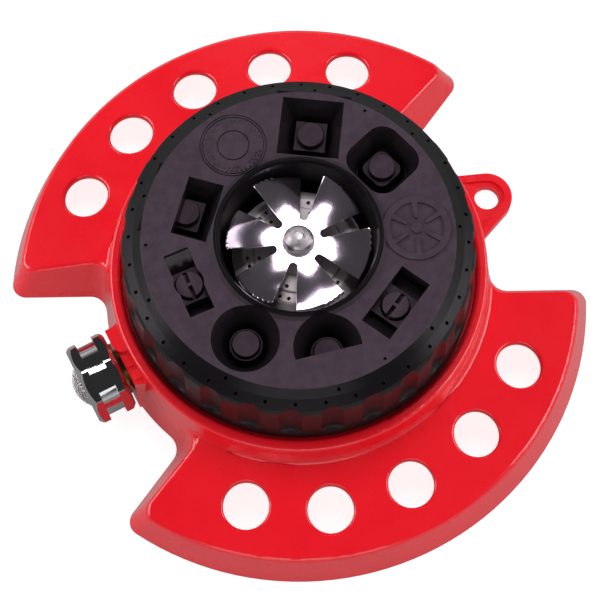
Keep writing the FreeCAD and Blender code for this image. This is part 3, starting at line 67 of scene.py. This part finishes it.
def new_material(name, base, roughness, metallic=0.0, **extra):
    """A principled material; returns it with its tree and shader, so that detail can be wired in."""
    material = bpy.data.materials.new(name)
    material.use_nodes = True
    tree = material.node_tree
    shader = tree.nodes["Principled BSDF"]
    shader.inputs["Base Color"].default_value = (*base, 1.0)
    shader.inputs["Roughness"].default_value = roughness
    shader.inputs["Metallic"].default_value = metallic
    for socket, value in extra.items():
        shader.inputs[socket.replace("_", " ")].default_value = value
    return material, tree, shader


def add_node(tree, kind, **settings):
    node = tree.nodes.new(kind)
    for name, value in settings.items():
        if hasattr(node, name):
            setattr(node, name, value)
        else:
            node.inputs[name.replace("_", " ")].default_value = value
    return node


def place(tree):
    """The point in the row frame, in metres, that textures are laid out in."""
    return add_node(tree, "ShaderNodeTexCoord").outputs["Object"]


def noise(tree, where, scale, detail=3.0, roughness=0.5):
    texture = add_node(tree, "ShaderNodeTexNoise", Scale=scale, Detail=detail, Roughness=roughness)
    tree.links.new(where, texture.inputs["Vector"])
    return texture.outputs["Fac"]


def remap(tree, value, low, high, start=0.35, end=0.65):
    """Maps a texture's middle range onto low..high."""
    ranged = add_node(tree, "ShaderNodeMapRange")
    for socket, number in zip(("From Min", "From Max", "To Min", "To Max"), (start, end, low, high)):
        ranged.inputs[socket].default_value = number
    tree.links.new(value, ranged.inputs["Value"])
    return ranged.outputs["Result"]


def mix_colors(tree, factor, first, second):
    """Mixes two colours, each given as numbers or as another node's output."""
    mixer = tree.nodes.new("ShaderNodeMix")
    mixer.data_type = "RGBA"
    for socket, color in (("A", first), ("B", second)):
        if isinstance(color, tuple):
            mixer.inputs[socket].default_value = (*color, 1.0)
        else:
            tree.links.new(color, mixer.inputs[socket])
    tree.links.new(factor, mixer.inputs["Factor"])
    return mixer.outputs["Result"]


def multiply(tree, first, second):
    product = add_node(tree, "ShaderNodeMath", operation="MULTIPLY")
    tree.links.new(first, product.inputs[0])
    tree.links.new(second, product.inputs[1])
    return product.outputs["Value"]


def axis_distance(tree, where):
    """Distance from the dial axis."""
    flat = add_node(tree, "ShaderNodeVectorMath", operation="MULTIPLY")
    flat.inputs[1].default_value = (1.0, 1.0, 0.0)
    tree.links.new(where, flat.inputs[0])
    reach = add_node(tree, "ShaderNodeVectorMath", operation="LENGTH")
    tree.links.new(flat.outputs["Vector"], reach.inputs[0])
    return reach.outputs["Value"]


def rise_past(tree, value, start, width):
    """0 below start, 1 beyond start + width."""
    return remap(tree, value, 0.0, 1.0, start, start + width)


def invert(tree, value):
    return remap(tree, value, 1.0, 0.0, 0.0, 1.0)


def level_faces(tree):
    """1 where the surface lies level, 0 where it slopes by more than about 30 degrees."""
    normal = add_node(tree, "ShaderNodeNewGeometry").outputs["True Normal"]
    split = add_node(tree, "ShaderNodeSeparateXYZ")
    tree.links.new(normal, split.inputs["Vector"])
    return remap(tree, split.outputs["Z"], 0.0, 1.0, 0.86, 0.96)


def add_bump(tree, shader, height, strength, distance, edge_radius=0.0):
    """Fine relief; with an edge radius, sharp edges also catch the light as rounded ones would."""
    bump = add_node(tree, "ShaderNodeBump", Strength=strength, Distance=distance)
    tree.links.new(height, bump.inputs["Height"])
    tree.links.new(bump.outputs["Normal"], shader.inputs["Normal"])
    if edge_radius > 0.0:
        bevel = add_node(tree, "ShaderNodeBevel", samples=6)
        bevel.inputs["Radius"].default_value = edge_radius
        tree.links.new(bevel.outputs["Normal"], bump.inputs["Normal"])


# ---------------------------------------------------------------- materials

# Radii about the dial axis where the dial's finish and its painted shade change, in metres.
BOWL_RADIUS = 0.0345
LIP_RADIUS = 0.042
RIM_RADIUS = 0.0658


def red_enamel():
    """Glossy paint on the casting, with a clear coat over a faintly uneven colour."""
    material, tree, shader = new_material(
        "red_enamel", (0.94, 0.008, 0.020), 0.30, Coat_Weight=1.0, Coat_Roughness=0.12,
        Specular_IOR_Level=0.25)
    where = place(tree)
    tone = remap(tree, noise(tree, where, 26.0), 0.0, 1.0)
    color = mix_colors(tree, tone, (0.92, 0.006, 0.018), (0.97, 0.010, 0.022))
    tree.links.new(color, shader.inputs["Base Color"])
    tree.links.new(remap(tree, noise(tree, where, 60.0), 0.24, 0.34), shader.inputs["Roughness"])
    add_bump(tree, shader, noise(tree, where, 420.0, 1.0), 0.04, 0.0005, 0.0006)
    return material


def charcoal():
    """Grained on level faces, lighter on the tops of raised marks; slopes and the rim's bevel painted dark as
    shade, and the bowl painted nearly black as shade.
    """
    material, tree, shader = new_material("charcoal_moulding", (0.06, 0.047, 0.056), 0.55)
    where = place(tree)
    reach = axis_distance(tree, where)
    outside_bowl = rise_past(tree, reach, BOWL_RADIUS, 0.0015)
    outside_lip = rise_past(tree, reach, LIP_RADIUS, 0.0005)
    rim = rise_past(tree, reach, RIM_RADIUS, 0.0003)
    inside_rim = invert(tree, rim)
    level = multiply(tree, level_faces(tree), inside_rim)
    tone = remap(tree, noise(tree, where, 240.0, 4.0), 0.0, 1.0)
    grained = mix_colors(tree, tone, (0.054, 0.036, 0.052), (0.067, 0.049, 0.065))
    split = add_node(tree, "ShaderNodeSeparateXYZ")
    tree.links.new(where, split.inputs["Vector"])
    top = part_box("dial_cap")[1].z
    # raised marks are coloured lighter on their top faces
    mark = multiply(tree, rise_past(tree, split.outputs["Z"], top - 0.0004, 0.0002), outside_lip)
    grained = mix_colors(tree, mark, grained, (0.092, 0.072, 0.090))
    # painted shade: slopes and recess walls are coloured darker than the level faces, and the rim's bevel
    # darker still, standing in for shade
    shaded_slope_color = mix_colors(tree, rim, (0.013, 0.010, 0.012), (0.008, 0.007, 0.008))
    color = mix_colors(tree, level, shaded_slope_color, grained)
    # painted shade: inside the bowl radius the colour is nearly black, standing in for the shade in the
    # hollow under the spinner
    tree.links.new(mix_colors(tree, outside_bowl, (0.006, 0.005, 0.006), color), shader.inputs["Base Color"])
    tree.links.new(remap(tree, level, 0.24, 0.56, 0.0, 1.0), shader.inputs["Roughness"])
    recess_wall = multiply(tree, multiply(tree, invert(tree, level), outside_lip), inside_rim)
    shine = add_node(tree, "ShaderNodeMath", operation="ADD")
    tree.links.new(remap(tree, outside_bowl, 0.10, 0.17, 0.0, 1.0), shine.inputs[0])
    tree.links.new(remap(tree, recess_wall, 0.0, 0.55, 0.0, 1.0), shine.inputs[1])
    tree.links.new(shine.outputs["Value"], shader.inputs["Specular IOR Level"])
    add_bump(tree, shader, noise(tree, where, 2200.0, 2.0), 0.20, 0.0002, 0.0003)
    return material


def dark_gloss():
    """Half-gloss dark plastic of the grip ring."""
    material, tree, shader = new_material(
        "dark_gloss", (0.011, 0.009, 0.010), 0.40, Specular_IOR_Level=0.24)
    where = place(tree)
    tone = remap(tree, noise(tree, where, 90.0), 0.0, 1.0)
    tree.links.new(mix_colors(tree, tone, (0.008, 0.006, 0.007), (0.014, 0.011, 0.012)),
                   shader.inputs["Base Color"])
    tree.links.new(remap(tree, noise(tree, where, 120.0), 0.36, 0.46), shader.inputs["Roughness"])
    add_bump(tree, shader, noise(tree, where, 900.0, 2.0), 0.05, 0.0002, 0.0004)
    return material


def grey_insert():
    """Light grey moulding in the bowl."""
    material, tree, shader = new_material("grey_insert", (0.17, 0.155, 0.16), 0.36)
    where = place(tree)
    tone = remap(tree, noise(tree, where, 150.0), 0.0, 1.0)
    color = mix_colors(tree, tone, (0.34, 0.30, 0.31), (0.42, 0.38, 0.39))
    tree.links.new(color, shader.inputs["Base Color"])
    add_bump(tree, shader, noise(tree, where, 1800.0, 2.0), 0.1, 0.0002, 0.0002)
    return material


def polished_metal(name, color, roughness, scratches=0.03):
    """Metal with uneven polish and fine scratches."""
    material, tree, shader = new_material(name, color, roughness, metallic=1.0)
    where = place(tree)
    duller = tuple(0.92 * channel for channel in color)
    tree.links.new(mix_colors(tree, remap(tree, noise(tree, where, 110.0), 0.0, 1.0), duller, color),
                   shader.inputs["Base Color"])
    tree.links.new(remap(tree, noise(tree, where, 300.0, 4.0), roughness * 0.6, roughness * 1.5),
                   shader.inputs["Roughness"])
    add_bump(tree, shader, noise(tree, where, 700.0, 2.0), scratches, 0.0002)
    return material


def bright_sheet():
    """Polished sheet steel: soft mirror with a faint grain that runs too fine to break the reflections."""
    material, tree, shader = new_material("polished_blades", (0.93, 0.87, 0.94), 0.20, metallic=1.0)
    where = place(tree)
    tree.links.new(remap(tree, noise(tree, where, 1600.0, 2.0), 0.12, 0.17), shader.inputs["Roughness"])
    tone = remap(tree, noise(tree, where, 60.0), 0.0, 1.0)
    color = mix_colors(tree, tone, (0.76, 0.65, 0.80), (0.86, 0.76, 0.89))
    tree.links.new(color, shader.inputs["Base Color"])
    add_bump(tree, shader, noise(tree, where, 3000.0, 1.0), 0.03, 0.0001)
    return material


def plain_plastic(name, color, roughness=0.5):
    """Fine-grained moulded plastic or rubber of an uneven tone."""
    material, tree, shader = new_material(name, color, roughness)
    where = place(tree)
    darker = tuple(0.85 * channel for channel in color)
    tree.links.new(mix_colors(tree, remap(tree, noise(tree, where, 80.0), 0.0, 1.0), darker, color),
                   shader.inputs["Base Color"])
    add_bump(tree, shader, noise(tree, where, 1500.0, 2.0), 0.12, 0.0002)
    return material


MATERIALS = {
    "cast_base": red_enamel(),
    "cover_plastic": plain_plastic("black_cover", (0.02, 0.02, 0.02)),
    "steel_zinc": polished_metal("zinc_steel", (0.62, 0.62, 0.60), 0.3),
    "stainless": polished_metal("satin_stainless", (0.60, 0.57, 0.58), 0.46, 0.06),
    "water_plastic": plain_plastic("grey_plastic", (0.05, 0.05, 0.055)),
    "rubber_seal": plain_plastic("black_rubber", (0.012, 0.012, 0.012), 0.7),
    "bush_plastic": plain_plastic("white_acetal", (0.75, 0.73, 0.68), 0.4),
    "chrome_nut": polished_metal("polished_chrome", (0.52, 0.52, 0.53), 0.05, 0.01),
    "brass_insert": polished_metal("turned_brass", (0.30, 0.22, 0.09), 0.45),
    "dial_charcoal": charcoal(),
    "skirt_dark": dark_gloss(),
    "insert_grey": grey_insert(),
    "blade_steel": bright_sheet(),
}

for entry in frame["record"]["subparts"]:
    mesh = nodes[entry["node"]].data
    mesh.materials.clear()
    mesh.materials.append(MATERIALS[entry["material_slot"]])


def break_edges(node, width):
    """Rounds the sharp edges of a part very slightly, as a real part's edges are."""
    edge = nodes[node].modifiers.new("broken_edges", "BEVEL")
    edge.width = width
    edge.segments = 2
    edge.angle_limit = math.radians(25.0)
    edge.harden_normals = True


break_edges("coupling_nut", 0.0002)


# ---------------------------------------------------------------- pieces

MM = 0.001
pieces = {}


def add_piece(name, bm, material, body, smooth=True):
    """Makes an object from mesh data in the row frame and lets it ride on a body."""
    mesh = bpy.data.meshes.new(name)
    bmesh.ops.recalc_face_normals(bm, faces=bm.faces)
    bm.to_mesh(mesh)
    bm.free()
    mesh.materials.append(material)
    for face in mesh.polygons:
        face.use_smooth = smooth
    piece = bpy.data.objects.new(name, mesh)
    bpy.context.scene.collection.objects.link(piece)
    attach(piece, body)
    pieces[name] = piece
    return piece


def sweep(bm, points, radius, sides=6):
    """A round wire along a line of points, closed at both ends."""
    rings = []
    for number, point in enumerate(points):
        before = points[max(number - 1, 0)]
        after = points[min(number + 1, len(points) - 1)]
        along = (after - before).normalized()
        side = along.orthogonal() if number == 0 else side - along * side.dot(along)
        side.normalize()
        other = along.cross(side)
        turns = [math.tau * step / sides for step in range(sides)]
        rings.append([bm.verts.new(point + (side * math.cos(turn) + other * math.sin(turn)) * radius)
                      for turn in turns])
    for first, second in zip(rings, rings[1:]):
        for step in range(sides):
            follow = (step + 1) % sides
            bm.faces.new((first[step], first[follow], second[follow], second[step]))
    bm.faces.new(rings[0])
    bm.faces.new(rings[-1])


def smooth_rise(value):
    """0 to 1 with level ends."""
    value = min(max(value, 0.0), 1.0)
    return value * value * (3.0 - 2.0 * value)


BLADES = 6
BLADE_PHASE = 81.0
BLADE_TILT = 19.0
BLADE_THICKNESS = 0.6 * MM


def slot_half_width(radius):
    """Half the gap between two blades: a round inner end, then straight sides that spread."""
    slot_start, end_radius, tip_half_gap, tip = 9.6 * MM, 1.9 * MM, 4.5 * MM, 30.6 * MM
    if radius <= slot_start:
        return 0.0
    if radius <= slot_start + end_radius:
        return math.sqrt(end_radius ** 2 - (slot_start + end_radius - radius) ** 2)
    share = (radius - slot_start - end_radius) / (tip - slot_start - end_radius)
    return end_radius + (tip_half_gap - end_radius) * share


def blade_tip(across):
    """Outer radius of a blade; across runs from -1 at its trailing side to 1 at its leading side."""
    plain, lobe_rise, lobes, start = 30.2 * MM, 0.7 * MM, 4, 0.1
    if across < start:
        return plain
    return plain + lobe_rise * abs(math.sin(math.pi * lobes * (across - start) / (1.0 - start)))


def spinner():
    """Sheet-metal wheel whose six blades twist out of a flat hub, with scalloped leading corners."""
    low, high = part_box("propeller")
    level = (low.z + high.z) / 2
    bore, slot_start, end_radius = 2.35 * MM, 9.6 * MM, 1.9 * MM
    rounded = [slot_start + end_radius * (1.0 - math.cos(math.radians(angle))) for angle in range(15, 91, 15)]
    hub_rows = [bore, 4.5 * MM, 7.0 * MM, slot_start]
    columns, outer_rows = 48, 18
    bm = bmesh.new()
    for blade in range(BLADES):
        middle = math.radians(BLADE_PHASE + 360.0 / BLADES * blade)
        rows = []
        for row in range(len(hub_rows) + len(rounded) + outer_rows):
            line = []
            for column in range(columns + 1):
                across = 2.0 * column / columns - 1.0
                if row < len(hub_rows):
                    radius = hub_rows[row]
                elif row < len(hub_rows) + len(rounded):
                    radius = rounded[row - len(hub_rows)]
                else:
                    share = (row - len(hub_rows) - len(rounded) + 1) / outer_rows
                    radius = rounded[-1] + (blade_tip(across) - rounded[-1]) * share
                half = math.pi / BLADES - math.asin(slot_half_width(radius) / radius)
                angle = half * across
                twist = math.radians(BLADE_TILT) * smooth_rise((radius - 9.0 * MM) / (19.0 * MM))
                sideways = radius * math.sin(angle)
                point = Vector((radius * math.cos(angle), sideways * math.cos(twist),
                                sideways * math.sin(twist)))
                point.rotate(Matrix.Rotation(middle, 3, "Z"))
                line.append(bm.verts.new(point + Vector((0.0, 0.0, level + BLADE_THICKNESS / 2))))
            rows.append(line)
        for inner, outer in zip(rows, rows[1:]):
            for column in range(columns):
                bm.faces.new((inner[column], outer[column], outer[column + 1], inner[column + 1]))
    bmesh.ops.remove_doubles(bm, verts=bm.verts, dist=0.01 * MM)
    piece = add_piece("spinner_wheel", bm, MATERIALS["blade_steel"], "propeller")
    thick = piece.modifiers.new("thickness", "SOLIDIFY")
    thick.thickness = BLADE_THICKNESS
    thick.offset = -1.0
    edge = piece.modifiers.new("rounded_edges", "BEVEL")
    edge.width = 0.14 * MM
    edge.segments = 2
    edge.angle_limit = math.radians(50.0)
    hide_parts("propeller")


def screen_height(reach, radius, height):
    """Height of the screen's dome above its seat, at a distance from its axis."""
    return height * math.sqrt(max(0.0, 1.0 - (reach / radius) ** 2))


def woven_screen():
    """Domed screen woven from two crossing sets of wires, held in a rolled rim."""
    low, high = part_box("strainer")
    centre = (low + high) / 2
    radius = (high.y - low.y) / 2
    seat = high.x - 1.2 * MM
    height = seat - low.x
    pitch, wire, half_step = 1.15 * MM, 0.24 * MM, 0.575 * MM
    count = int((radius - wire) / pitch)
    bm = bmesh.new()
    for family in (0, 1):
        for number in range(-count, count + 1):
            offset = number * pitch
            reach = math.sqrt(max(0.0, (radius - wire) ** 2 - offset ** 2))
            steps = int(reach / half_step)
            points = []
            for step in range(-steps, steps + 1):
                along = step * half_step
                wave = wire * 0.9 * math.cos(math.pi * along / pitch) * (1 if (number + family) % 2 else -1)
                rise = screen_height(math.hypot(along, offset), radius, height) + wave
                across, up = (along, offset) if family else (offset, along)
                points.append(Vector((seat - rise, centre.y + across, centre.z + up)))
            if len(points) > 2:
                sweep(bm, points, wire)
    rim_radius = radius - 0.4 * MM
    rim = [Vector((seat, centre.y + rim_radius * math.cos(turn), centre.z + rim_radius * math.sin(turn)))
           for turn in (math.tau * step / 64 for step in range(65))]
    sweep(bm, rim, 0.5 * MM, 10)
    piece = add_piece("woven_screen", bm, polished_metal("screen_wire", (0.86, 0.85, 0.86), 0.24), "base")
    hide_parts("strainer")


spinner()
woven_screen()


# ---------------------------------------------------------------- stage

OBJECT_CENTRE = Vector((0.0, 0.0, 0.06))
AMBIENT = 0.24
LAMP_TINT = (1.0, 0.95, 0.99)
HORIZON_GLOW = 0.85
ROOF_GLOW = 0.045
FLOOR_SEEN = 0.86
FLOOR_LIGHTING = 0.45
FLOOR_REFLECTED = 0.10
BRIGHT_BOX = 12.0


def floor():
    """Pale ground: nearly white to the camera, dimmer as it lights the object and as it is reflected."""
    mesh = bpy.data.meshes.new("floor")
    half = 3.0
    corners = [(-half, -half, 0), (half, -half, 0), (half, half, 0), (-half, half, 0)]
    mesh.from_pydata(corners, [], [(0, 1, 2, 3)])
    plane = bpy.data.objects.new("floor", mesh)
    plane.location.z = cad_low.z - 0.0002
    bpy.context.scene.collection.objects.link(plane)
    material, tree, shader = new_material("pale_floor", (0.34, 0.34, 0.34), 0.8, Specular_IOR_Level=0.0)
    shader.inputs["Emission Color"].default_value = (1.0, 1.0, 1.0, 1.0)
    path = add_node(tree, "ShaderNodeLightPath")
    strength = None
    for ray, level in (("Is Glossy Ray", FLOOR_REFLECTED), ("Is Camera Ray", FLOOR_SEEN)):
        seen = tree.nodes.new("ShaderNodeMix")
        seen.inputs["A"].default_value = FLOOR_LIGHTING
        if strength:
            tree.links.new(strength, seen.inputs["A"])
        seen.inputs["B"].default_value = level
        tree.links.new(path.outputs[ray], seen.inputs["Factor"])
        strength = seen.outputs["Result"]
    tree.links.new(strength, shader.inputs["Emission Strength"])
    mesh.materials.append(material)


def area_light(name, direction, distance, size, radiance):
    """A softbox that faces the object from the given direction, as bright as radiance per unit area."""
    data = bpy.data.lights.new(name, "AREA")
    data.shape = "RECTANGLE"
    data.size, data.size_y = size
    data.energy = radiance * math.pi * size[0] * size[1]
    data.color = LAMP_TINT
    lamp = bpy.data.objects.new(name, data)
    away = Vector(direction).normalized()
    lamp.location = OBJECT_CENTRE + away * distance
    lamp.rotation_mode = "QUATERNION"
    lamp.rotation_quaternion = (-away).to_track_quat("-Z", "Y")
    bpy.context.scene.collection.objects.link(lamp)
    return lamp


def shine_on(lamp, receivers):
    """Limits a lamp to the given objects."""
    group = bpy.data.collections.new(lamp.name + "_receivers")
    for item in receivers:
        group.objects.link(item)
    lamp.light_linking.receiver_collection = group


def studio_world():
    """Pale to the camera and as diffuse light; reflections see a dark roof over a pale horizon."""
    world = bpy.data.worlds.new("studio")
    bpy.context.scene.world = world
    world.use_nodes = True
    tree = world.node_tree
    background = tree.nodes["Background"]
    where = add_node(tree, "ShaderNodeTexCoord").outputs["Generated"]
    height = add_node(tree, "ShaderNodeSeparateXYZ")
    tree.links.new(where, height.inputs["Vector"])
    roof = add_node(tree, "ShaderNodeMapRange", interpolation_type="SMOOTHSTEP")
    limits = {"From Min": 0.02, "From Max": 0.42, "To Min": HORIZON_GLOW, "To Max": ROOF_GLOW}
    for socket, number in limits.items():
        roof.inputs[socket].default_value = number
    tree.links.new(height.outputs["Z"], roof.inputs["Value"])
    path = add_node(tree, "ShaderNodeLightPath")
    level = tree.nodes.new("ShaderNodeMix")
    level.inputs["A"].default_value = AMBIENT
    tree.links.new(roof.outputs["Result"], level.inputs["B"])
    tree.links.new(path.outputs["Is Glossy Ray"], level.inputs["Factor"])
    background.inputs["Color"].default_value = (1.0, 1.0, 1.0, 1.0)
    tree.links.new(level.outputs["Result"], background.inputs["Strength"])


def studio():
    """Softboxes round the object; those that only a shiny part would mirror light just that part."""
    studio_world()
    wheel, nut = pieces["spinner_wheel"], nodes["coupling_nut"]
    above = (0.180, 0.2865, 0.9468)
    matt = area_light("top_fill", above, 1.3, (0.39, 0.39), BRIGHT_BOX)
    matt.visible_glossy = False
    shine_on(area_light("top_box", above, 1.2, (0.36, 0.36), BRIGHT_BOX),
             [wheel, nodes["shaft_screw"], nodes["head_washer"], nodes["nozzle_insert"]])
    shine_on(area_light("blade_box_near", (0.230, 0.045, 0.968), 1.15, (0.34, 0.26), 4.0), [wheel])
    shine_on(area_light("blade_box_side", (-0.47, 0.381, 0.79), 1.2, (0.24, 0.24), 5.0), [wheel])
    shine_on(area_light("nut_box", (-0.078, 0.300, 0.969), 1.19, (0.075, 0.5), BRIGHT_BOX), [nut])
    area_light("front_box", (-0.43, -0.81, 0.42), 1.4, (1.2, 0.45), 1.8)
    area_light("left_box", (-0.70, 0.50, 0.46), 1.2, (1.1, 0.40), 4.6)
    area_light("right_box", (0.77, -0.395, 0.48), 1.3, (1.1, 0.45), 4.2)
    area_light("back_box", (0.39, 0.76, 0.46), 1.4, (0.7, 0.22), 3.0)
    bpy.context.scene.view_settings.view_transform = "Standard"


def camera():
    """Camera above the near side of the object, rolled and shifted to the product shot's framing."""
    back = Vector((-0.1466, -0.2865, 0.9468)).normalized()
    target = Vector((0.0, 0.0, 0.0215))
    distance = 0.7578
    roll = math.radians(-0.458)
    data = bpy.data.cameras.new("camera")
    data.sensor_width = 36.0
    data.lens = 101.45
    data.shift_x = 0.00205
    data.shift_y = -0.0354
    data.clip_start = 0.01
    item = bpy.data.objects.new("camera", data)
    right = Vector((0, 0, 1)).cross(back).normalized()
    up = back.cross(right)
    right_rolled = right * math.cos(roll) + up * math.sin(roll)
    up_rolled = up * math.cos(roll) - right * math.sin(roll)
    item.matrix_world = Matrix.Translation(target + back * distance) @ Matrix(
        (right_rolled, up_rolled, back)).transposed().to_4x4()
    bpy.context.scene.collection.objects.link(item)
    bpy.context.scene.camera = item


floor()
studio()
camera()
